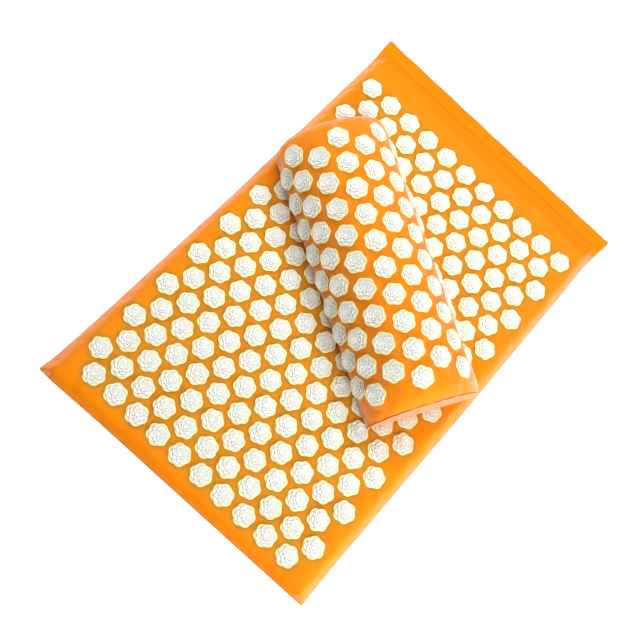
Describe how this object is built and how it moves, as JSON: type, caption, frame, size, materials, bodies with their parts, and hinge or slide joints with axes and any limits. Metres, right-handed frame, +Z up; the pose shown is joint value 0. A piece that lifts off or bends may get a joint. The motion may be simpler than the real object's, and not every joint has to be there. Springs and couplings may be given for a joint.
{
  "type": "acupressure mat",
  "caption": "Foam acupressure mat in a cotton cover studded with rows of moulded lotus discs, with a hook-and-loop hem and a half-round studded neck pillow lying across it.",
  "frame": {"origin": "centre of the mat's underside, on the surface that it lies on", "axes": "+X across the mat, +Y along it towards the closure flap, +Z up through the discs"},
  "size_m": [0.418, 0.67, 0.1138],
  "materials": {
    "cover_cotton": "dyed plain-weave cotton, matt",
    "base_cotton": "dyed plain-weave cotton, matt",
    "lotus_discs": "ivory moulded plastic, satin",
    "foam": "open-cell polyurethane foam, matt",
    "hook_tape": "woven nylon tape with stiff hooks",
    "loop_tape": "woven nylon tape with a napped face"
  },
  "bodies": {
    "mat": {"mat_top_cover": "cover_cotton", "mat_bottom_cover": "base_cotton", "mat_foam_core": "foam", "mat_loop_tape": "loop_tape", "mat_disc_row_01": "lotus_discs", "mat_disc_row_02": "lotus_discs", "mat_disc_row_03": "lotus_discs", "mat_disc_row_04": "lotus_discs", "mat_disc_row_05": "lotus_discs", "mat_disc_row_06": "lotus_discs", "mat_disc_row_07": "lotus_discs", "mat_disc_row_08": "lotus_discs", "mat_disc_row_09": "lotus_discs", "mat_disc_row_10": "lotus_discs", "mat_disc_row_11": "lotus_discs", "mat_disc_row_12": "lotus_discs", "mat_disc_row_13": "lotus_discs", "mat_disc_row_14": "lotus_discs", "mat_disc_row_15": "lotus_discs", "mat_disc_row_16": "lotus_discs", "mat_disc_row_17": "lotus_discs", "mat_disc_row_18": "lotus_discs", "mat_disc_row_19": "lotus_discs", "mat_disc_row_20": "lotus_discs"},
    "closure_flap": {"mat_closure_flap": "cover_cotton", "mat_hook_tape": "hook_tape"},
    "pillow": {"pillow_studded_cover": "cover_cotton", "pillow_right_end_panel": "cover_cotton", "pillow_left_end_panel": "cover_cotton", "pillow_base_front": "base_cotton", "pillow_base_rear": "base_cotton", "pillow_foam_core": "foam", "pillow_hook_tape": "hook_tape", "pillow_loop_tape": "loop_tape", "pillow_disc_row_1": "lotus_discs", "pillow_disc_row_2": "lotus_discs", "pillow_disc_row_3": "lotus_discs", "pillow_disc_row_4": "lotus_discs", "pillow_disc_row_5": "lotus_discs", "pillow_disc_row_6": "lotus_discs", "pillow_disc_row_7": "lotus_discs"}
  },
  "joints": [
    {"name": "closure_flap_fold", "type": "hinge", "parent": "mat", "child": "closure_flap", "pos_m": [0, 0.3145, 0.0055], "axis": [1, 0, 0], "range_deg": [0, 90]},
    {"name": "pillow_lift", "type": "slide", "parent": "mat", "child": "pillow", "axis": [0, 0, 1], "range_m": [0, 0.15]}
  ]
}
